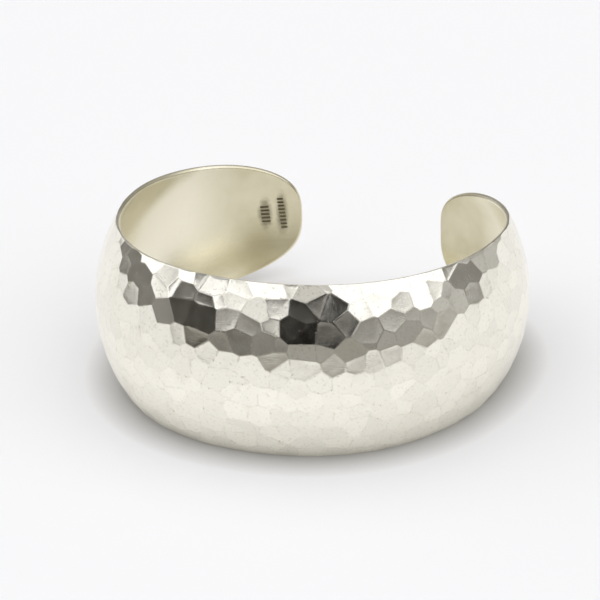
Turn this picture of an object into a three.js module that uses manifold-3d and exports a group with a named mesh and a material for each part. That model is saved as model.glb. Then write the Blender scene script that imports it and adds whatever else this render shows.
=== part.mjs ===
// Hammered cuff bracelet: one domed band of sterling silver, bent to an oval and open at the back.
// Millimetres, +Z up. It lies on its side as it rests by itself: its front faces -Y, its gap faces +Y.

import * as THREE from 'three';
import { mergeVertices } from 'three/addons/utils/BufferGeometryUtils.js';
import Module from 'manifold-3d';

const wasm = await Module();
wasm.setup();

// The oval that the middle of the wall follows at the crest of the dome, seen from above
const sideReach = 33; // from the oval's centre to each side
const frontReach = 33.6;
const backReach = 28.4;
const ovalPower = 2.13; // 2 is an ellipse, more is squarer
const gapLength = 24.1; // the open stretch at the back, measured along the oval

// The band before it was bent, seen flat
const frontWidth = 29.7;
const endWidth = 18.8;
const endRounding = 22; // length of the rounded stretch at each end
const endRoundness = 3; // 2 is an ellipse, more is blunter
const wall = 0.9;
const rimCrown = 0.2; // how far the middle of the rim stands out past its two edges
const domeRadius = 24.5; // of the dome across the band, at the middle of the wall

// The hammered outside: one flat facet for each blow, in rows along the band
const rowPitch = 2.8;
const blowPitch = 3.2;
const blowDepth = 0.08;
const blowDepthSpread = 0.03;
const blowPlaceSpread = 0.3; // share of the two pitches
const blowLean = 0.024; // radians that a blow may lean out of true

// Two plain punch marks of short sunk bars inside the left end
const punchMarks = [
  { fromTip: 6, height: 0.35, bars: 5, pitch: 0.65, length: 1.4, slant: -0.1 },
  { fromTip: 3.2, height: 0.45, bars: 9, pitch: 0.64, length: 1, slant: -0.12 },
];
const barWidth = 0.36;
const barDepth = 0.2;

// The lower rim is filed flat where it touches the table
const restFlat = 0.12;

// How finely the curves are drawn
const ovalSteps = 2400;
const drumSteps = 64;
const middleStations = 44;
const endStations = 10;
const rowsAcross = 8;
const rimLayers = 5;

// The search for how it rests
const mostTurn = Math.PI / 12;
const turnHalvings = 40;

// Extra metal that the cuts take away, and the rows of blows that land past the rims
const spareMetal = 1;
const rowsPastRim = 1.5;

const silver = new THREE.MeshStandardMaterial({ color: 0xeeebe2, metalness: 1, roughness: 0.16 });

// A point of the oval at a turn from its front, with the outward direction there
function ovalAt(turn) {
  const reach = Math.cos(turn) > 0 ? frontReach : backReach;
  const across = Math.abs(Math.sin(turn) / sideReach);
  const along = Math.abs(Math.cos(turn) / reach);
  const radius = (across ** ovalPower + along ** ovalPower) ** (-1 / ovalPower);
  const point = new THREE.Vector3(radius * Math.sin(turn), -radius * Math.cos(turn), 0);
  const out = new THREE.Vector3(
    (Math.sign(point.x) * Math.abs(point.x / sideReach) ** (ovalPower - 1)) / sideReach,
    (Math.sign(point.y) * Math.abs(point.y / reach) ** (ovalPower - 1)) / reach,
    0,
  ).normalize();
  return { point, out };
}

// The length along the oval from the front to each of its steps
const ovalLengths = [0];
for (let i = 1; i <= ovalSteps; i++) {
  const before = ovalAt((Math.PI * (i - 1)) / ovalSteps).point;
  const here = ovalAt((Math.PI * i) / ovalSteps).point;
  ovalLengths.push(ovalLengths[i - 1] + here.distanceTo(before));
}
const halfOval = ovalLengths[ovalSteps];
const halfLength = halfOval - gapLength / 2;

// The same, found by the length along the oval: negative lengths lie on the left, at -X
function bandAt(length) {
  const wanted = Math.min(Math.abs(length), halfOval);
  let low = 0;
  let high = ovalSteps;
  while (high - low > 1) {
    const middle = (low + high) >> 1;
    if (ovalLengths[middle] > wanted) high = middle;
    else low = middle;
  }
  const share = (wanted - ovalLengths[low]) / (ovalLengths[high] - ovalLengths[low]);
  return ovalAt((Math.sign(length) * Math.PI * (low + share)) / ovalSteps);
}

// From the flat band to the bent one: along it, across its dome, and out from the middle of its wall
function outwardAt(along, across) {
  const { out } = bandAt(along);
  const rise = across / domeRadius;
  return out.multiplyScalar(Math.cos(rise)).setZ(Math.sin(rise));
}

function bent(along, across, outward) {
  const { point, out } = bandAt(along);
  const rise = across / domeRadius;
  const radius = domeRadius + outward;
  point.addScaledVector(out, radius * Math.cos(rise) - domeRadius);
  return point.setZ(radius * Math.sin(rise));
}

// Half the flat band's width, which tapers from the front and rounds off at each end
function halfWidthAt(along) {
  const share = Math.abs(along) / halfLength;
  const tapered = (endWidth + (frontWidth - endWidth) * (1 - share ** 2)) / 2;
  const intoEnd = Math.max(0, 1 - (halfLength - Math.abs(along)) / endRounding);
  return tapered * Math.max(0, 1 - intoEnd ** endRoundness) ** (1 / endRoundness);
}

// Stations along the band, evenly spaced in the middle and closer together towards each tip
function stationAt(step) {
  const side = step < endStations ? -1 : 1;
  const middle = step - endStations - middleStations / 2;
  const start = halfLength - endRounding;
  const steps = Math.abs(middle) - middleStations / 2;
  if (steps <= 0) return (2 * middle * start) / middleStations;
  const turn = (steps / endStations) * (Math.PI / 2);
  return side * (start + endRounding * Math.sin(turn) ** (2 / endRoundness));
}

// The outward direction of the flat band's outline, for its +across side
function outlineOutAt(along) {
  const nudge = 1e-4;
  if (Math.abs(along) > halfLength - nudge) return { along: Math.sign(along), across: 0 };
  const slope = (halfWidthAt(along + nudge) - halfWidthAt(along - nudge)) / (2 * nudge);
  const size = Math.hypot(slope, 1);
  return { along: -slope / size, across: 1 / size };
}

// A closed three.js geometry as a solid that can be joined and cut
function solidOf(geometry) {
  const bare = geometry.clone();
  for (const name of ['normal', 'uv']) bare.deleteAttribute(name);
  const merged = mergeVertices(bare, 1e-5);
  const corners = merged.index.array;
  const triVerts = [];
  for (let i = 0; i < corners.length; i += 3) {
    const [a, b, c] = corners.slice(i, i + 3);
    if (a !== b && b !== c && c !== a) triVerts.push(a, b, c);
  }
  const vertProperties = new Float32Array(merged.attributes.position.array);
  const made = { numProp: 3, vertProperties, triVerts: new Uint32Array(triVerts) };
  return new wasm.Manifold(new wasm.Mesh(made));
}

function geometryOf(solid) {
  const { vertProperties, triVerts } = solid.getMesh();
  const geometry = new THREE.BufferGeometry();
  geometry.setAttribute('position', new THREE.BufferAttribute(vertProperties, 3));
  geometry.setIndex(new THREE.BufferAttribute(triVerts, 1));
  return geometry;
}

function pointsOf(geometry) {
  const position = geometry.attributes.position;
  const pointAt = (_, i) => new THREE.Vector3().fromBufferAttribute(position, i);
  return Array.from({ length: position.count }, pointAt);
}

// Moves each vertex of a geometry to where a function puts it
function reshape(geometry, place) {
  const position = geometry.attributes.position;
  const vertex = new THREE.Vector3();
  for (let i = 0; i < position.count; i++) {
    vertex.fromBufferAttribute(position, i);
    const moved = place(vertex);
    position.setXYZ(i, moved.x, moved.y, moved.z);
  }
  return geometry;
}

// The bent band with a smooth inside, its outside left thick enough for the hammer to flatten
function bandBlank() {
  const outermost = wall + spareMetal / 2;
  const stations = middleStations + 2 * endStations;
  const box = new THREE.BoxGeometry(stations, 2, 1, stations, rowsAcross, rimLayers);
  reshape(box, ({ x, y, z }) => {
    const along = stationAt(Math.round(x + stations / 2));
    const outward = -wall / 2 + (z + 0.5) * outermost;
    const inset = rimCrown * ((2 * outward) / wall) ** 2;
    const edge = outlineOutAt(along);
    const halfWidth = Math.max(0, halfWidthAt(along) - inset * edge.across);
    return bent(along - inset * edge.along, y * halfWidth, outward);
  });
  return solidOf(box);
}

// A repeatable scatter between -1 and 1 for one blow of one row
function scatter(row, column, kind) {
  const wave = Math.sin(row * 12.9898 + column * 78.233 + kind * 37.719) * 43758.5453;
  return 2 * (wave - Math.floor(wave)) - 1;
}

function hammerBlows() {
  const blows = [];
  const rows = Math.ceil(frontWidth / 2 / rowPitch);
  const columns = Math.ceil(halfLength / blowPitch) + 1;
  for (let row = -rows; row <= rows; row++) {
    const stagger = row % 2 ? 0.5 : 0;
    for (let column = -columns; column <= columns; column++) {
      const spread = (kind) => scatter(row, column, kind) * blowPlaceSpread;
      const along = (column + stagger + spread(1)) * blowPitch;
      const across = (row + spread(2)) * rowPitch;
      if (Math.abs(along) > halfLength + blowPitch) continue;
      if (Math.abs(across) > halfWidthAt(along) + rowPitch * rowsPastRim) continue;
      const depth = blowDepth + blowDepthSpread * scatter(row, column, 3);
      const leanAlong = blowLean * scatter(row, column, 4);
      const leanAcross = blowLean * scatter(row, column, 5);
      blows.push({ along, across, depth, leanAlong, leanAcross });
    }
  }
  return blows;
}

// An oval drum whose outside is flattened by every blow
function hammeredDrum() {
  const halfHeight = frontWidth / 2 + rowPitch;
  const outline = [];
  for (let i = 0; i < drumSteps; i++) {
    const { point, out } = ovalAt((2 * Math.PI * i) / drumSteps);
    point.addScaledVector(out, wall / 2 + spareMetal);
    outline.push(new THREE.Vector2(point.x, point.y));
  }
  const options = { depth: 2 * halfHeight, bevelEnabled: false };
  const drum = new THREE.ExtrudeGeometry(new THREE.Shape(outline), options);
  let solid = solidOf(drum.translate(0, 0, -halfHeight));
  for (const { along, across, depth, leanAlong, leanAcross } of hammerBlows()) {
    const face = outwardAt(along, across);
    const alongWay = new THREE.Vector3(0, 0, 1).cross(bandAt(along).out).negate();
    const acrossWay = new THREE.Vector3().crossVectors(face, alongWay);
    face.addScaledVector(alongWay, leanAlong).addScaledVector(acrossWay, leanAcross).normalize();
    const place = bent(along, across, wall / 2 - depth);
    solid = solid.trimByPlane([-face.x, -face.y, -face.z], -face.dot(place));
  }
  return solid;
}

function punchBars() {
  const bars = [];
  for (const { fromTip, height, bars: count, pitch, length, slant } of punchMarks) {
    for (let i = 0; i < count; i++) {
      const across = height + (i - (count - 1) / 2) * pitch;
      const along = fromTip - halfLength - slant * across;
      const bar = new THREE.BoxGeometry(length, barWidth, 2 * barDepth);
      bars.push(solidOf(reshape(bar, ({ x, y, z }) => bent(along + x, across + y, z - wall / 2))));
    }
  }
  return bars;
}

// The volume's centre, summed over the wedges between the origin and each triangle
function balancePoint(geometry) {
  const points = pointsOf(geometry);
  const corners = geometry.index.array;
  const sum = new THREE.Vector3();
  let total = 0;
  for (let i = 0; i < corners.length; i += 3) {
    const [a, b, c] = [0, 1, 2].map((k) => points[corners[i + k]]);
    const volume = a.dot(new THREE.Vector3().crossVectors(b, c)) / 6;
    for (const corner of [a, b, c]) sum.addScaledVector(corner, volume / 4);
    total += volume;
  }
  return sum.divideScalar(total);
}

// The direction in the untilted cuff that points up once it is turned about X
function upAt(turn) {
  return new THREE.Vector3(0, Math.sin(turn), Math.cos(turn));
}

function lowestOf(points, up) {
  return Math.min(...points.map((point) => point.dot(up)));
}

// The turn about X at which the rim touches the table both in front of and behind the balance point
function restingTurn(geometry) {
  const points = pointsOf(geometry);
  const balance = balancePoint(geometry);
  const front = points.filter((point) => point.y < balance.y);
  const back = points.filter((point) => point.y >= balance.y);
  let low = -mostTurn;
  let high = mostTurn;
  for (let i = 0; i < turnHalvings; i++) {
    const turn = (low + high) / 2;
    if (lowestOf(front, upAt(turn)) > lowestOf(back, upAt(turn))) low = turn;
    else high = turn;
  }
  return low;
}

let cuffSolid = bandBlank().intersect(hammeredDrum());
for (const bar of punchBars()) cuffSolid = cuffSolid.subtract(bar);

// Turned to rest, filed where it touches, and set over the origin
const turn = restingTurn(geometryOf(cuffSolid));
const up = upAt(turn);
const lowest = lowestOf(pointsOf(geometryOf(cuffSolid)), up);
cuffSolid = cuffSolid.trimByPlane(up.toArray(), lowest + restFlat);

const cuff = new THREE.Mesh(geometryOf(cuffSolid), silver);
cuff.name = 'cuff';
cuff.rotation.x = turn;
cuff.updateMatrixWorld(true);
const box = new THREE.Box3().setFromObject(cuff, true);
const middle = box.getCenter(new THREE.Vector3());
cuff.position.set(-middle.x, -middle.y, -box.min.z);

const group = new THREE.Group();
group.add(cuff);

export default group;
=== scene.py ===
import math

import bpy
import numpy as np
from mathutils import Matrix, Vector


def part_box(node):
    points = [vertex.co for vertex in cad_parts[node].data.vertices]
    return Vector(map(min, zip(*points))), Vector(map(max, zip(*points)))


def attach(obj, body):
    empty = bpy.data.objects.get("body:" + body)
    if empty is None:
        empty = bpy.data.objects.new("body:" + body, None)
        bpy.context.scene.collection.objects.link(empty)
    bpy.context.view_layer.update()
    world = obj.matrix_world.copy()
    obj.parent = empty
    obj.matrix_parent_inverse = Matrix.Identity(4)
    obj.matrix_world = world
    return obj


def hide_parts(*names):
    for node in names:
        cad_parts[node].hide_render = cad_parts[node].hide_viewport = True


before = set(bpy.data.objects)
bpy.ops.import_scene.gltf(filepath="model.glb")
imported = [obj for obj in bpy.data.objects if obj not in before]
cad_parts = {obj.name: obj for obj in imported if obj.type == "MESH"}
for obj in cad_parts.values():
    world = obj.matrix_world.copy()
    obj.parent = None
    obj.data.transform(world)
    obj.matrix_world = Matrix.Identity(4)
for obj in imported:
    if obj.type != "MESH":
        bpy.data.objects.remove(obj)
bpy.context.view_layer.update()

# The camera, at the photograph's angle to the cuff

view = {
    "aim": (-0.0007, -0.00117, 0.01241),
    "azimuth": 21.54,  # degrees round from the front, towards the right
    "elevation": 27.66,
    "roll": -3.03,
    "distance": 0.5486,
    "lens": 213.4,
    "sensor": 36.0,
    "clipStart": 0.01,
}


def addCamera():
    azimuth, elevation, roll = (math.radians(view[k]) for k in ("azimuth", "elevation", "roll"))
    level = math.cos(elevation)
    back = Vector((math.sin(azimuth) * level, -math.cos(azimuth) * level, math.sin(elevation)))
    right = Vector((math.cos(azimuth), math.sin(azimuth), 0))
    up = back.cross(right)
    right, up = right * math.cos(roll) + up * math.sin(roll), up * math.cos(roll) - right * math.sin(roll)
    data = bpy.data.cameras.new("camera")
    data.lens = view["lens"]
    data.sensor_width = view["sensor"]
    data.clip_start = view["clipStart"]
    camera = bpy.data.objects.new("camera", data)
    bpy.context.scene.collection.objects.link(camera)
    turn = Matrix((right, up, back)).transposed().to_4x4()
    camera.matrix_world = Matrix.Translation(Vector(view["aim"]) + back * view["distance"]) @ turn
    bpy.context.scene.camera = camera


addCamera()
print("camera set")

# The band: its bend, its outline and its wall, in metres

band = {
    "sideReach": 0.033,
    "frontReach": 0.0336,
    "backReach": 0.0284,
    "ovalPower": 2.13,
    "gapLength": 0.0241,
    "frontWidth": 0.0297,
    "endWidth": 0.0188,
    "endRounding": 0.022,
    "endRoundness": 3,
    "wall": 0.0009,
    "domeRadius": 0.0245,
    "rimCrown": 0.0003,
    "restingTurn": math.radians(-3.2545),
    "middleStations": 130,
    "endStations": 32,
    "rowsAcross": 28,
    "rimLayers": 10,
    "spareMetal": 0.0005,  # outside the wall, for the hammer to cut into
    "weld": 1e-7,
    "filedWeld": 2e-6,
    "smoothAngle": 35,
}


def ovalAt(turn):
    # a point of the oval at a turn from its front, and the outward direction there
    reach = band["frontReach"] if math.cos(turn) > 0 else band["backReach"]
    power = band["ovalPower"]
    across = abs(math.sin(turn) / band["sideReach"])
    along = abs(math.cos(turn) / reach)
    radius = (across ** power + along ** power) ** (-1 / power)
    point = Vector((radius * math.sin(turn), -radius * math.cos(turn), 0))
    outX = math.copysign(abs(point.x / band["sideReach"]) ** (power - 1), point.x) / band["sideReach"]
    outY = math.copysign(abs(point.y / reach) ** (power - 1), point.y) / reach
    return point, Vector((outX, outY, 0)).normalized()


ovalTurns = np.linspace(0, math.pi, 2401)
ovalPoints = np.array([ovalAt(turn)[0] for turn in ovalTurns])
ovalLengths = np.concatenate([[0], np.cumsum(np.linalg.norm(np.diff(ovalPoints, axis=0), axis=1))])
halfLength = ovalLengths[-1] - band["gapLength"] / 2


def bandAt(along):
    turn = np.interp(abs(along), ovalLengths, ovalTurns)
    return ovalAt(math.copysign(turn, along))


def bent(along, across, outward):
    # from the flat band to the bent one
    point, out = bandAt(along)
    rise = across / band["domeRadius"]
    radius = band["domeRadius"] + outward
    point = point + out * (radius * math.cos(rise) - band["domeRadius"])
    point.z = radius * math.sin(rise)
    return point


def halfWidthAt(along):
    share = abs(along) / halfLength
    tapered = (band["endWidth"] + (band["frontWidth"] - band["endWidth"]) * (1 - share ** 2)) / 2
    intoEnd = max(0, 1 - (halfLength - abs(along)) / band["endRounding"])
    return tapered * max(0, 1 - intoEnd ** band["endRoundness"]) ** (1 / band["endRoundness"])


def stationAt(share):
    # even steps in the middle, shorter ones towards each rounded tip
    start = halfLength - band["endRounding"]
    middle = band["middleStations"] / (band["middleStations"] + 2 * band["endStations"])
    if abs(share) <= middle:
        return start * share / middle
    left = (1 - abs(share)) / (1 - middle)
    return math.copysign(start + band["endRounding"] * (1 - left ** 2), share)


def outlineOut(along):
    # the outward direction of the flat outline, along and across the band
    nudge = band["weld"]
    if abs(along) > halfLength - nudge:
        return math.copysign(1, along), 0
    slope = (halfWidthAt(along + nudge) - halfWidthAt(along - nudge)) / (2 * nudge)
    size = math.hypot(slope, 1)
    return -slope / size, 1 / size


def selectOnly(*pieces):
    if bpy.context.object and bpy.context.object.mode != "OBJECT":
        bpy.ops.object.mode_set(mode="OBJECT")
    bpy.ops.object.select_all(action="DESELECT")
    for piece in pieces:
        piece.select_set(True)
    bpy.context.view_layer.objects.active = pieces[0]


def placeLayer(piece, outward):
    # moves the selected sheet of vertices to one depth of the wall, drawn in where the rim is rounded
    depth = min(1, abs(2 * outward / band["wall"]))
    inset = band["rimCrown"] * (1 - math.sqrt(1 - depth ** 2))
    stations = piece.data.attributes["station"].data
    rows = piece.data.attributes["row"].data
    for vertex in piece.data.vertices:
        if not vertex.select:
            continue
        along = stationAt(stations[vertex.index].value)
        edgeAlong, edgeAcross = outlineOut(along)
        halfWidth = max(0, halfWidthAt(along) - inset * edgeAcross)
        vertex.co = bent(along - inset * edgeAlong, rows[vertex.index].value * halfWidth, outward)


def makeBand():
    # a flat grid bent to the inside of the cuff, then extruded outwards layer by layer
    columns = band["middleStations"] + 2 * band["endStations"]
    bpy.ops.object.select_all(action="DESELECT")
    bpy.ops.mesh.primitive_grid_add(x_subdivisions=columns, y_subdivisions=band["rowsAcross"], size=2)
    piece = bpy.context.object
    piece.name = "cuff_silver"
    for name, axis in (("station", 0), ("row", 1)):
        attribute = piece.data.attributes.new(name, "FLOAT", "POINT")
        attribute.data.foreach_set("value", [v.co[axis] for v in piece.data.vertices])
    for vertex in piece.data.vertices:
        vertex.select = True
    layers = band["rimLayers"]
    depths = [-band["wall"] / 2 * math.cos(math.pi * i / layers) for i in range(layers + 1)]
    placeLayer(piece, depths[0])
    for outward in depths[1:] + [band["wall"] / 2 + band["spareMetal"]]:
        bpy.ops.object.mode_set(mode="EDIT")
        bpy.ops.mesh.extrude_region()
        bpy.ops.object.mode_set(mode="OBJECT")
        placeLayer(piece, outward)
    bpy.ops.object.mode_set(mode="EDIT")
    bpy.ops.mesh.select_all(action="SELECT")
    bpy.ops.mesh.remove_doubles(threshold=band["weld"])
    bpy.ops.mesh.dissolve_degenerate(threshold=band["weld"])
    bpy.ops.mesh.select_all(action="SELECT")
    bpy.ops.mesh.normals_make_consistent(inside=False)
    bpy.ops.object.mode_set(mode="OBJECT")
    return piece


# The hammer: one flat facet for each blow, in rows along the band

hammer = {
    "rowPitch": 0.0028,
    "blowPitch": 0.0032,
    "blowDepth": 0.00008,
    "blowDepthSpread": 0.00003,
    "blowPlaceSpread": 0.3,
    "blowLean": 0.024,
    "rowsPastRim": 1.5,
    "drumRadius": 0.0355,
    "drumCentre": -0.0026,
    "drumHeight": 0.0365,
    "drumSides": 96,
    "shortRidge": 0.0003,
    "ridgeRounding": 0.0001,
    "ridgeSegments": 3,
    "flatness": 0.00002,  # how near a face lies to the plane of a blow to count as its facet
    "flatTurn": 0.0002,
    "smallestDish": 0.0005,
    # the steps that dish every facet but the smallest
    "dishes": (
        {"share": 0.92, "depth": 0.000003},
        {"share": 0.8, "depth": 0.000005},
        {"share": 0.6, "depth": 0.000005},
    ),
}


def scatter(row, column, kind):
    # a repeatable number between -1 and 1
    wave = math.sin(row * 12.9898 + column * 78.233 + kind * 37.719) * 43758.5453
    return 2 * (wave - math.floor(wave)) - 1


def hammerBlows():
    rows = math.ceil(band["frontWidth"] / 2 / hammer["rowPitch"])
    columns = math.ceil(halfLength / hammer["blowPitch"]) + 1
    for row in range(-rows, rows + 1):
        stagger = 0.5 if row % 2 else 0
        for column in range(-columns, columns + 1):
            spread = hammer["blowPlaceSpread"]
            along = (column + stagger + spread * scatter(row, column, 1)) * hammer["blowPitch"]
            across = (row + spread * scatter(row, column, 2)) * hammer["rowPitch"]
            if abs(along) > halfLength + hammer["blowPitch"]:
                continue
            if abs(across) > halfWidthAt(along) + hammer["rowPitch"] * hammer["rowsPastRim"]:
                continue
            depth = hammer["blowDepth"] + hammer["blowDepthSpread"] * scatter(row, column, 3)
            leanAlong = hammer["blowLean"] * scatter(row, column, 4)
            leanAcross = hammer["blowLean"] * scatter(row, column, 5)
            yield along, across, depth, leanAlong, leanAcross


def facetsOf(piece, planes):
    # for each face, the number of the blow in whose plane it lies, or -1
    places, faces = (np.array(column) for column in zip(*planes))
    centres = np.array([polygon.center for polygon in piece.data.polygons])
    normals = np.array([polygon.normal for polygon in piece.data.polygons])
    away = np.abs(centres @ faces.T - np.sum(places * faces, axis=1))
    turned = 1 - normals @ faces.T
    inPlane = (away < hammer["flatness"]) & (turned < hammer["flatTurn"])
    return np.where(inPlane.any(axis=1), inPlane.argmax(axis=1), -1)


def setAttribute(piece, name, domain, values):
    attribute = piece.data.attributes.get(name) or piece.data.attributes.new(name, "FLOAT", domain)
    attribute.data.foreach_set("value", values)


def dishFacets(piece, planes):
    # sinks rings inside each facet, and notes for the silver where the ridges are and a tone for each facet
    blows = facetsOf(piece, planes)
    setAttribute(piece, "ridge", "POINT", [1.0] * len(piece.data.vertices))
    setAttribute(piece, "tone", "FACE", [scatter(blow, 0, 6) if blow >= 0 else 0.0 for blow in blows])
    bpy.ops.object.mode_set(mode="EDIT")
    bpy.ops.mesh.select_mode(type="FACE")
    bpy.ops.mesh.select_all(action="DESELECT")
    bpy.ops.object.mode_set(mode="OBJECT")
    for polygon, blow in zip(piece.data.polygons, blows):
        corners = [piece.data.vertices[i].co for i in polygon.vertices]
        outline = sum((a - b).length for a, b in zip(corners, corners[1:] + corners[:1]))
        polygon.select = bool(blow >= 0) and 2 * polygon.area / outline > hammer["smallestDish"]
    for dish in hammer["dishes"]:
        bpy.ops.object.mode_set(mode="EDIT")
        bpy.ops.mesh.inset(thickness=0, depth=-dish["depth"], use_individual=True)
        bpy.ops.object.mode_set(mode="OBJECT")
        ridge = piece.data.attributes["ridge"].data
        for polygon in piece.data.polygons:
            if polygon.select:
                middle = polygon.center.copy()
                for i in polygon.vertices:
                    piece.data.vertices[i].co = middle.lerp(piece.data.vertices[i].co, dish["share"])
                    ridge[i].value = 0
    bpy.ops.object.mode_set(mode="EDIT")
    bpy.ops.mesh.select_mode(type="VERT")
    bpy.ops.object.mode_set(mode="OBJECT")


def makeDrum():
    # a plain drum that every blow flattens once
    bpy.ops.object.select_all(action="DESELECT")
    bpy.ops.mesh.primitive_cylinder_add(
        vertices=hammer["drumSides"],
        radius=hammer["drumRadius"],
        depth=hammer["drumHeight"],
        location=(0, hammer["drumCentre"], 0),
    )
    drum = bpy.context.object
    drum.name = "hammered_drum"
    bpy.ops.object.transform_apply(location=True, rotation=True, scale=True)
    planes = []
    bpy.ops.object.mode_set(mode="EDIT")
    for along, across, depth, leanAlong, leanAcross in hammerBlows():
        point, out = bandAt(along)
        rise = across / band["domeRadius"]
        face = out * math.cos(rise) + Vector((0, 0, math.sin(rise)))
        alongWay = out.cross(Vector((0, 0, 1)))
        acrossWay = face.cross(alongWay)
        face = (face + alongWay * leanAlong + acrossWay * leanAcross).normalized()
        place = bent(along, across, band["wall"] / 2 - depth)
        bpy.ops.mesh.select_all(action="SELECT")
        bpy.ops.mesh.bisect(
            plane_co=place,
            plane_no=face,
            use_fill=True,
            clear_outer=True,
            threshold=band["weld"],
        )
        planes.append((place, face))
    bpy.ops.mesh.select_all(action="SELECT")
    bpy.ops.mesh.remove_doubles(threshold=hammer["shortRidge"])
    bpy.ops.mesh.select_all(action="SELECT")
    bpy.ops.mesh.bevel(
        offset=hammer["ridgeRounding"],
        offset_type="OFFSET",
        segments=hammer["ridgeSegments"],
        affect="EDGES",
        clamp_overlap=True,
    )
    bpy.ops.mesh.select_all(action="SELECT")
    bpy.ops.mesh.normals_make_consistent(inside=False)
    bpy.ops.object.mode_set(mode="OBJECT")
    return drum, planes


# The punch marks: two plain rows of short sunk bars inside the left end

punch = {
    "marks": (
        {"fromTip": 6e-3, "height": 3.5e-4, "bars": 5, "pitch": 6.5e-4, "length": 1.4e-3, "slant": -0.1},
        {"fromTip": 3.2e-3, "height": 4.5e-4, "bars": 9, "pitch": 6.4e-4, "length": 1e-3, "slant": -0.12},
    ),
    "barWidth": 0.00036,
    "barDepth": 0.0002,
    "smudgeWide": 0.0006,
    "smudgeHigh": 0.0016,
}


def makePunch():
    bars = []
    for mark in punch["marks"]:
        for i in range(mark["bars"]):
            across = mark["height"] + (i - (mark["bars"] - 1) / 2) * mark["pitch"]
            along = mark["fromTip"] - halfLength - mark["slant"] * across
            bpy.ops.object.select_all(action="DESELECT")
            bpy.ops.mesh.primitive_cube_add(size=1)
            bar = bpy.context.object
            for vertex in bar.data.vertices:
                x = along + vertex.co.x * mark["length"]
                y = across + vertex.co.y * punch["barWidth"]
                z = vertex.co.z * 2 * punch["barDepth"] - band["wall"] / 2
                vertex.co = bent(x, y, z)
            bars.append(bar)
    selectOnly(*bars)
    bpy.ops.object.join()
    bpy.context.object.name = "punch"
    return bpy.context.object


def markPlaces(rest):
    # the middle and reach of each row of bars as the cuff rests
    for mark in punch["marks"]:
        along = mark["fromTip"] - halfLength - mark["slant"] * mark["height"]
        middle = rest @ bent(along, mark["height"], -band["wall"] / 2)
        wide = mark["length"] / 2 + punch["smudgeWide"]
        high = mark["bars"] * mark["pitch"] / 2 + punch["smudgeHigh"]
        yield middle, (wide, wide, high)


def cutWith(piece, tool, operation):
    selectOnly(piece)
    cut = piece.modifiers.new(operation.lower(), "BOOLEAN")
    cut.operation = operation
    cut.solver = "EXACT"
    cut.material_mode = "TRANSFER"
    cut.object = tool
    bpy.ops.object.modifier_apply(modifier=cut.name)
    bpy.data.objects.remove(tool)


# Helpers for shader nodes

def addNode(tree, kind, links=(), **settings):
    # a node with its inputs set or linked by name or number
    node = tree.nodes.new(kind)
    for name, value in settings.items():
        setattr(node, name, value)
    for key, value in dict(links).items():
        if isinstance(value, bpy.types.NodeSocket):
            tree.links.new(value, node.inputs[key])
        else:
            node.inputs[key].default_value = value
    return node


def addMath(tree, operation, a, b=0.0):
    return addNode(tree, "ShaderNodeMath", {0: a, 1: b}, operation=operation).outputs[0]


def newMaterial(name):
    material = bpy.data.materials.new(name)
    material.use_nodes = True
    tree = material.node_tree
    shader = tree.nodes["Principled BSDF"]
    return material, tree, shader


def newGroup(name, outputs):
    group = bpy.data.node_groups.new(name, "ShaderNodeTree")
    for output in outputs:
        group.interface.new_socket(name=output, in_out="OUTPUT", socket_type="NodeSocketFloat")
    return group, group.nodes.new("NodeGroupOutput")


def addMapRange(tree, value, low, high, toLow=0.0, toHigh=1.0, smooth=True):
    return addNode(tree, "ShaderNodeMapRange", {
        "Value": value,
        "From Min": low,
        "From Max": high,
        "To Min": toLow,
        "To Max": toHigh,
    }, interpolation_type="SMOOTHSTEP" if smooth else "LINEAR").outputs["Result"]


def addNoise(tree, place, scale, detail=2.0):
    noise = addNode(tree, "ShaderNodeTexNoise", {"Vector": place, "Scale": scale, "Detail": detail})
    return noise.outputs["Fac"]


def addMix(tree, share, first, second):
    def coloured(value):
        return value if isinstance(value, bpy.types.NodeSocket) else (*value, 1)
    links = {0: share, 6: coloured(first), 7: coloured(second)}
    return addNode(tree, "ShaderNodeMix", links, data_type="RGBA").outputs[2]


# Wear that every surface of the silver shares: fine specks, soft stains and hairline scratches

wear = {
    "speckScale": 2600.0,
    "speckEdges": (0.62, 0.74),
    "stainScale": 160.0,
    "waveScale": 420.0,
    "scratchScale": 900.0,
    "scratchStretch": 0.05,
    "scratchTurns": (20, 75, 140),
    "scratchLine": 0.035,
    "scratchBreaks": (0.56, 0.66),
}


def makeWear():
    tree, end = newGroup("silver wear", ("Specks", "Stains", "Waves", "Scratches"))
    place = addNode(tree, "ShaderNodeTexCoord").outputs["Object"]
    specks = addMapRange(tree, addNoise(tree, place, wear["speckScale"], 1.0), *wear["speckEdges"])
    stains = addNoise(tree, place, wear["stainScale"], 4.0)
    waves = addNoise(tree, place, wear["waveScale"], 3.0)
    scratches = 0.0
    for i, turn in enumerate(wear["scratchTurns"]):
        lined = addNode(tree, "ShaderNodeMapping", {
            "Vector": place,
            "Location": (0.3 * i, 0, 0),
            "Rotation": (0.4 * i, math.radians(turn), 0.7 * i),
            "Scale": (wear["scratchStretch"], 1, 1),
        }).outputs[0]
        noise = addNoise(tree, lined, wear["scratchScale"], 2.0)
        away = addMath(tree, "ABSOLUTE", addMath(tree, "SUBTRACT", noise, 0.5))
        line = addMapRange(tree, away, 0.0, wear["scratchLine"], 1.0, 0.0)
        gaps = addNoise(tree, place, wear["stainScale"] * (2 + i), 1.0)
        broken = addMapRange(tree, gaps, *wear["scratchBreaks"])
        scratches = addMath(tree, "MAXIMUM", scratches, addMath(tree, "MULTIPLY", line, broken))
    for name, value in (("Specks", specks), ("Stains", stains), ("Waves", waves), ("Scratches", scratches)):
        tree.links.new(value, end.inputs[name])
    return tree


wearGroup = makeWear()

# The hammered outside: bright, with a little tarnish left along the ridges

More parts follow.
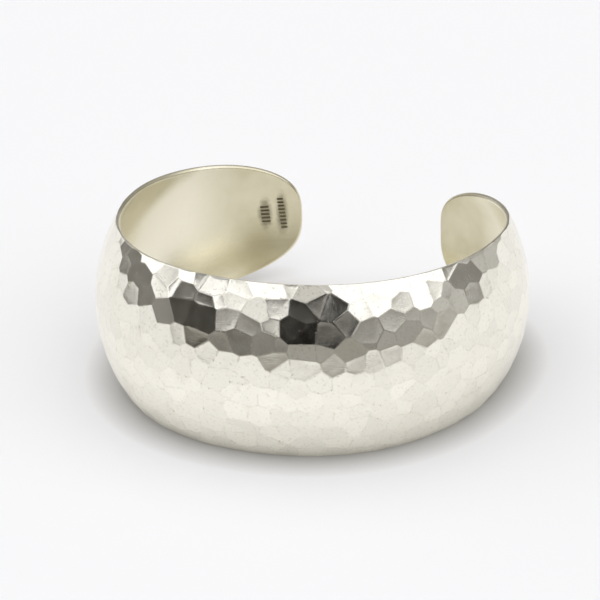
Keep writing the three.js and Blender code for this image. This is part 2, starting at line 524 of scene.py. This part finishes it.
hammeredLook = {
    "colour": (0.94, 0.917, 0.845),
    "toneSpread": 0.05,
    "toneLevels": (0.7, 1.5),
    "grain": 0.06,
    "tarnish": (0.50, 0.46, 0.37),
    "patchScale": 900.0,
    "patchEdges": (0.42, 0.62),
    "ridgeEdges": (0.2, 1.0),
    "ridgeDirt": 0.2,
    "ridgeSpecks": 0.8,
    "openSpecks": 0.24,
    "stainEdges": (0.5, 0.75),
    "stainTarnish": 0.12,
    "roughness": 0.1,
    "roughnessSpread": 0.05,
    "dirtRoughness": 0.3,
    "waveEdges": (0.3, 0.7),
    "waveHeight": 0.000009,
    "scratchHeight": 0.0000012,
}


def addBump(tree, height, distance, normal=None):
    links = {"Height": height, "Distance": distance, "Strength": 1.0}
    if normal:
        links["Normal"] = normal
    return addNode(tree, "ShaderNodeBump", links).outputs["Normal"]


def makeHammered():
    look = hammeredLook
    material, tree, shader = newMaterial("hammered silver")
    worn = addNode(tree, "ShaderNodeGroup", node_tree=wearGroup).outputs
    place = addNode(tree, "ShaderNodeTexCoord").outputs["Object"]
    ridge = addNode(tree, "ShaderNodeAttribute", attribute_name="ridge").outputs["Fac"]
    tone = addNode(tree, "ShaderNodeAttribute", attribute_name="tone").outputs["Fac"]
    deeper = tuple(c * (1 - 2 * look["toneSpread"]) for c in look["colour"])
    grain = addNoise(tree, place, wear["speckScale"], 2.0)
    grain = addMath(tree, "MULTIPLY", grain, look["grain"] / look["toneSpread"])
    level = addMapRange(tree, tone, -1.0, 1.0, *look["toneLevels"], smooth=False)
    colour = addMix(tree, addMath(tree, "SUBTRACT", level, grain), deeper, look["colour"])
    patchy = addMapRange(tree, addNoise(tree, place, look["patchScale"], 3.0), *look["patchEdges"])
    grimy = addMapRange(tree, worn["Specks"], 0.0, 1.0, look["ridgeDirt"], look["ridgeSpecks"])
    dirt = addMath(tree, "MULTIPLY", addMapRange(tree, ridge, *look["ridgeEdges"]), patchy)
    dirt = addMath(tree, "MULTIPLY", dirt, grimy)
    dirt = addMath(tree, "MAXIMUM", dirt, addMath(tree, "MULTIPLY", worn["Specks"], look["openSpecks"]))
    stained = addMapRange(tree, worn["Stains"], *look["stainEdges"], 0.0, look["stainTarnish"])
    dirt = addMath(tree, "ADD", dirt, stained)
    tree.links.new(addMix(tree, dirt, colour, look["tarnish"]), shader.inputs["Base Color"])
    rougher = look["roughness"] + look["roughnessSpread"]
    rough = addMapRange(tree, worn["Waves"], *look["waveEdges"], look["roughness"], rougher)
    rough = addMath(tree, "ADD", rough, addMath(tree, "MULTIPLY", dirt, look["dirtRoughness"]))
    tree.links.new(rough, shader.inputs["Roughness"])
    normal = addBump(tree, worn["Waves"], look["waveHeight"])
    normal = addBump(tree, worn["Scratches"], look["scratchHeight"], normal)
    tree.links.new(normal, shader.inputs["Normal"])
    shader.inputs["Metallic"].default_value = 1
    return material


# The inside and the rims: a satin brushed along the band, warmer and duller towards the tips, with painted
# shade in a stretch under the upper rim

satinLook = {
    "colour": (0.925, 0.89, 0.765),
    # the dull colour of the tips, and of the painted shade under the upper rim
    "dullAndShade": (0.59, 0.545, 0.385),
    "dullStart": 58,  # degrees round from the gap
    "dullEnd": 32,
    "stainEdges": (0.25, 0.7),
    "leastDull": 0.6,
    "specks": 0.25,
    "roughness": 0.24,
    "roughnessSpread": 0.03,
    "streakEdges": (0.3, 0.7),
    "brushAlong": 90.0,
    "brushAcross": 5200.0,
    "brushHeight": 0.0000002,
    # painted shade: a darker stretch under the upper rim, past the middle of each arm, with a slanting edge
    "upperShade": 0.75,
    "upperSlant": 73.0,  # radians more for each metre up
    "upperEdges": (2.42, 2.66),
    "upperFade": (1.6, 1.9),
}


def makeSatin():
    look = satinLook
    material, tree, shader = newMaterial("satin silver")
    worn = addNode(tree, "ShaderNodeGroup", node_tree=wearGroup).outputs
    place = addNode(tree, "ShaderNodeTexCoord").outputs["Object"]
    parts = addNode(tree, "ShaderNodeSeparateXYZ", {0: place}).outputs
    turn = addMath(tree, "ARCTAN2", parts["X"], parts["Y"])
    along = addMath(tree, "MULTIPLY", turn, band["sideReach"] * look["brushAlong"])
    across = addMath(tree, "MULTIPLY", parts["Z"], look["brushAcross"])
    brushed = addNode(tree, "ShaderNodeCombineXYZ", {0: along, 1: across}).outputs[0]
    streaks = addNoise(tree, brushed, 1.0, 3.0)
    fromGap = addMath(tree, "ABSOLUTE", turn)
    dullAndShade = addMapRange(tree, fromGap, math.radians(look["dullStart"]), math.radians(look["dullEnd"]))
    # painted shade under the upper rim, mixed towards the same dull colour as the tips
    slanted = addMath(tree, "ADD", fromGap, addMath(tree, "MULTIPLY", parts["Z"], look["upperSlant"]))
    underRimShade = addMapRange(tree, slanted, *look["upperEdges"], 0.0, look["upperShade"])
    underRimShade = addMath(tree, "MULTIPLY", underRimShade, addMapRange(tree, fromGap, *look["upperFade"], 1.0, 0.0))
    dullAndShade = addMath(tree, "MAXIMUM", dullAndShade, underRimShade)
    stained = addMapRange(tree, worn["Stains"], *look["stainEdges"], look["leastDull"], 1.0)
    colour = addMix(tree, addMath(tree, "MULTIPLY", dullAndShade, stained), look["colour"], look["dullAndShade"])
    colour = addMix(tree, addMath(tree, "MULTIPLY", worn["Specks"], look["specks"]), colour, look["dullAndShade"])
    tree.links.new(colour, shader.inputs["Base Color"])
    rougher = look["roughness"] + look["roughnessSpread"]
    rough = addMapRange(tree, streaks, *look["streakEdges"], look["roughness"], rougher)
    tree.links.new(rough, shader.inputs["Roughness"])
    normal = addBump(tree, streaks, look["brushHeight"])
    normal = addBump(tree, worn["Scratches"], look["brushHeight"], normal)
    tree.links.new(normal, shader.inputs["Normal"])
    shader.inputs["Metallic"].default_value = 1
    return material


# The floor of the punch marks, dark with old tarnish

darkLook = {
    "pale": (0.3, 0.27, 0.19),
    "dark": (0.25, 0.22, 0.155),
    "roughness": 0.5,
    "smudge": 0.95,
    "smudgeStart": 1.4,
    "smudgeEnd": 0.7,
    "ragged": 0.6,
    "raggedScale": 1500.0,
    "waveEdges": (0.35, 0.65),
}


def stainMarks(places):
    # old tarnish smudged round each mark
    look = darkLook
    tree = satinSilver.node_tree
    shader = tree.nodes["Principled BSDF"]
    place = addNode(tree, "ShaderNodeTexCoord").outputs["Object"]
    ragged = addMath(tree, "MULTIPLY", addNoise(tree, place, look["raggedScale"], 3.0), look["ragged"])
    for middle, size in places:
        local = addNode(tree, "ShaderNodeMapping", {
            "Vector": place,
            "Location": middle,
            "Scale": size,
        }, vector_type="TEXTURE").outputs[0]
        away = addNode(tree, "ShaderNodeVectorMath", {0: local}, operation="LENGTH").outputs["Value"]
        away = addMath(tree, "ADD", away, ragged)
        smudge = addMapRange(tree, away, look["smudgeStart"], look["smudgeEnd"], 0.0, look["smudge"])
        before = shader.inputs["Base Color"].links[0].from_socket
        tree.links.new(addMix(tree, smudge, before, look["pale"]), shader.inputs["Base Color"])


def makeDark():
    look = darkLook
    material, tree, shader = newMaterial("darkened silver")
    worn = addNode(tree, "ShaderNodeGroup", node_tree=wearGroup).outputs
    colour = addMix(tree, addMapRange(tree, worn["Waves"], *look["waveEdges"]), look["dark"], look["pale"])
    tree.links.new(colour, shader.inputs["Base Color"])
    shader.inputs["Roughness"].default_value = look["roughness"]
    shader.inputs["Metallic"].default_value = 1
    return material


hammeredSilver = makeHammered()
satinSilver = makeSatin()
darkSilver = makeDark()


def makeCuff():
    cuff = makeBand()
    cuff.data.materials.append(satinSilver)
    print("band bent:", len(cuff.data.polygons), "faces")
    drum, planes = makeDrum()
    drum.data.materials.append(hammeredSilver)
    print("drum hammered:", len(drum.data.polygons), "faces")
    cutWith(cuff, drum, "INTERSECT")
    punchTool = makePunch()
    punchTool.data.materials.append(darkSilver)
    cutWith(cuff, punchTool, "DIFFERENCE")
    for name in ("station", "row"):
        cuff.data.attributes.remove(cuff.data.attributes[name])
    dishFacets(cuff, planes)

    # turned to rest and set on the solid's own place
    cuff.rotation_euler.x = band["restingTurn"]
    selectOnly(cuff)
    bpy.ops.object.transform_apply(location=False, rotation=True, scale=False)
    corners = np.array([v.co for v in cuff.data.vertices])
    low, high = corners.min(0), corners.max(0)
    nodeLow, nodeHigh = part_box("cuff")
    cuff.location.x = (nodeLow.x + nodeHigh.x - low[0] - high[0]) / 2
    cuff.location.y = (nodeLow.y + nodeHigh.y - low[1] - high[1]) / 2
    cuff.location.z = nodeHigh.z - high[2]
    rest = Matrix.Translation(cuff.location) @ Matrix.Rotation(band["restingTurn"], 4, "X")
    bpy.ops.object.transform_apply(location=True, rotation=False, scale=False)
    stainMarks(list(markPlaces(rest)))

    # filed flat where the lower rim touches the table
    bpy.ops.object.mode_set(mode="EDIT")
    bpy.ops.mesh.select_all(action="SELECT")
    bpy.ops.mesh.bisect(
        plane_co=(0, 0, 0),
        plane_no=(0, 0, 1),
        use_fill=True,
        clear_inner=True,
        threshold=band["weld"],
    )
    bpy.ops.mesh.select_all(action="SELECT")
    bpy.ops.mesh.remove_doubles(threshold=band["filedWeld"])
    bpy.ops.object.mode_set(mode="OBJECT")
    bpy.ops.object.shade_smooth_by_angle(angle=math.radians(band["smoothAngle"]))
    normals = cuff.modifiers.new("weighted normals", "WEIGHTED_NORMAL")
    normals.keep_sharp = True
    normals.weight = 100
    bpy.ops.object.modifier_apply(modifier=normals.name)
    print("cuff cut:", len(cuff.data.polygons), "faces", [m.name for m in cuff.data.materials])
    return cuff


cuff = makeCuff()
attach(cuff, "root")
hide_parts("cuff")

# The table and the studio round it

studio = {
    "tableSize": 6.0,
    "tableColour": (0.9, 0.9, 0.918),
    "tableRoughness": 0.9,
    "tableSpecular": 0.1,
    "brightness": 1.36,
    # painted reflection: what the silver sees of the table, brighter near by and grey past its edge, metres
    # from the middle towards the camera
    "edgeStart": 0.1,
    "edgeEnd": 0.14,
    "mirroredEdgeColour": (0.31, 0.295, 0.26),
    "mirroredNearColour": (0.9, 0.895, 0.885),
    "mirroredCloseColour": (0.99, 0.985, 0.975),
    "closeStart": 0.064,
    "closeEnd": 0.038,
    # painted shadow where the cuff all but touches the table, as the camera and the silver see it
    "shadowColour": (0.35, 0.34, 0.31),
    "mirroredShadow": (0.55, 0.545, 0.53),
    "shadowReach": 0.0055,
    "mirroredReach": 0.5,  # as a share of the reach
    "shadowSamples": 8,
    "warmth": (1.0, 1.02, 1.06),  # powers that turn the room's greys a little warm
    "unevenness": 9.0,  # degrees that the patches' outlines wander
    "unevenScale": 5.0,
    "squareness": 2.6,
    # soft patches of the room: where they are, in degrees, half their width and height, and their brightness
    "patches": (
        # all round near the horizon, then the greyer stretch of it
        {"azimuth": 0, "elevation": 0, "width": 2000, "height": 18, "value": 0.4, "softness": 0.5},
        {"azimuth": 25, "elevation": 0, "width": 60, "height": 14, "value": 0.67, "softness": 0.3},
        {"azimuth": 46, "elevation": 16, "width": 30, "height": 8.5, "value": 0.6, "softness": 0.3},
        {"azimuth": -10, "elevation": 15, "width": 20, "height": 14, "value": 0.64, "softness": 0.4},
        {"azimuth": -85, "elevation": 6, "width": 27, "height": 5, "value": 0.35, "softness": 0.3},
        # the darkest ones, in front and to the left
        {"azimuth": 15, "elevation": 24, "width": 21.5, "height": 15, "value": 0.02, "softness": 0.12},
        {"azimuth": 28, "elevation": 36, "width": 5, "height": 4, "value": 0.6, "softness": 0.3},
        {"azimuth": -45, "elevation": 14, "width": 14, "height": 16, "value": 0.09, "softness": 0.2},
        {"azimuth": -22, "elevation": 15, "width": 4, "height": 22, "value": 0.5, "softness": 0.5},
        {"azimuth": 14, "elevation": 47, "width": 19, "height": 8, "value": 0.46, "softness": 0.5},
        {"azimuth": 114, "elevation": 5, "width": 12, "height": 13, "value": 0.45, "softness": 0.25},
        # behind the cuff, seen in the rims
        {"azimuth": 180, "elevation": 28, "width": 60, "height": 20, "value": 0.36, "softness": 0.4},
        {"azimuth": -180, "elevation": 28, "width": 60, "height": 20, "value": 0.36, "softness": 0.4},
    ),
}


def tableShade(tree):
    # pale, with a painted shadow under the cuff; the silver sees a painted reflection of it, a little
    # brighter near by and grey past its edge on the camera's side
    way = [math.sin(math.radians(view["azimuth"])), -math.cos(math.radians(view["azimuth"])), 0]
    place = addNode(tree, "ShaderNodeTexCoord").outputs["Object"]
    out = addNode(tree, "ShaderNodeVectorMath", {0: place, 1: way}, operation="DOT_PRODUCT")
    past = addMapRange(tree, out.outputs["Value"], studio["edgeStart"], studio["edgeEnd"])
    apart = addNode(tree, "ShaderNodeVectorMath", {0: place}, operation="LENGTH").outputs["Value"]
    # painted reflection: glossy rays see the table brighter near the cuff and grey past its edge
    close = addMapRange(tree, apart, studio["closeStart"], studio["closeEnd"])
    mirrored = addMix(tree, close, studio["mirroredNearColour"], studio["mirroredCloseColour"])
    mirrored = addMix(tree, past, mirrored, studio["mirroredEdgeColour"])
    seen = addNode(tree, "ShaderNodeLightPath").outputs["Is Glossy Ray"]
    colour = addMix(tree, seen, studio["tableColour"], mirrored)
    # painted shadow: the table darkens where the ambient occlusion finds the cuff close by, less in the
    # silver's reflections
    shadow = addMix(tree, seen, studio["shadowColour"], studio["mirroredShadow"])
    nearby = addNode(tree, "ShaderNodeAmbientOcclusion", {"Distance": studio["shadowReach"]})
    nearby.samples = studio["shadowSamples"]
    reach = addMapRange(tree, seen, 0.0, 1.0, 1.0, studio["mirroredReach"])
    bare = addMath(tree, "DIVIDE", nearby.outputs["AO"], reach)
    return addMix(tree, bare, shadow, colour)


def addPatch(tree, azimuth, elevation, light, patch):
    # darkens a soft oval of the room
    turned = addMath(tree, "SUBTRACT", azimuth, math.radians(patch["azimuth"]))
    turned = addMath(tree, "DIVIDE", turned, math.radians(patch["width"]))
    raised = addMath(tree, "SUBTRACT", elevation, math.radians(patch["elevation"]))
    raised = addMath(tree, "DIVIDE", raised, math.radians(patch["height"]))
    turned = addMath(tree, "POWER", addMath(tree, "ABSOLUTE", turned), studio["squareness"])
    raised = addMath(tree, "POWER", addMath(tree, "ABSOLUTE", raised), studio["squareness"])
    away = addMath(tree, "ADD", turned, raised)
    shade = addMapRange(tree, away, 1 - patch["softness"], 1 + patch["softness"], patch["value"])
    return addMath(tree, "MULTIPLY", light, shade)


def addStray(tree, angle, noise):
    # lets the outlines of the patches wander
    reach = 4 * math.radians(studio["unevenness"])
    stray = addMath(tree, "MULTIPLY", addMath(tree, "SUBTRACT", noise, 0.5), reach)
    return addMath(tree, "ADD", angle, stray)


def addStudio():
    bpy.ops.object.select_all(action="DESELECT")
    bpy.ops.mesh.primitive_plane_add(size=studio["tableSize"], location=(0, 0, 0))
    table = bpy.context.object
    table.name = "table"
    material, tree, shader = newMaterial("pale table")
    tree.links.new(tableShade(tree), shader.inputs["Base Color"])
    shader.inputs["Roughness"].default_value = studio["tableRoughness"]
    shader.inputs["Specular IOR Level"].default_value = studio["tableSpecular"]
    table.data.materials.append(material)

    world = bpy.data.worlds.new("studio")
    bpy.context.scene.world = world
    world.use_nodes = True
    tree = world.node_tree
    direction = addNode(tree, "ShaderNodeTexCoord").outputs["Generated"]
    parts = addNode(tree, "ShaderNodeSeparateXYZ", {0: direction}).outputs
    azimuth = addMath(tree, "ARCTAN2", parts["X"], addMath(tree, "MULTIPLY", parts["Y"], -1.0))
    elevation = addMath(tree, "ARCSINE", parts["Z"])
    noise = addNode(tree, "ShaderNodeTexNoise", {
        "Vector": direction,
        "Scale": studio["unevenScale"],
        "Detail": 2.0,
    }).outputs["Color"]
    noises = addNode(tree, "ShaderNodeSeparateColor", {0: noise}).outputs
    azimuth = addStray(tree, azimuth, noises[0])
    elevation = addStray(tree, elevation, noises[1])
    light = 1.0
    for patch in studio["patches"]:
        light = addPatch(tree, azimuth, elevation, light, patch)
    warm = [addMath(tree, "POWER", light, power) for power in studio["warmth"]]
    colour = addNode(tree, "ShaderNodeCombineColor", dict(enumerate(warm)))
    background = tree.nodes["Background"]
    tree.links.new(colour.outputs[0], background.inputs["Color"])
    background.inputs["Strength"].default_value = studio["brightness"]


addStudio()
bpy.context.scene.view_settings.view_transform = "Standard"
print("studio lit")
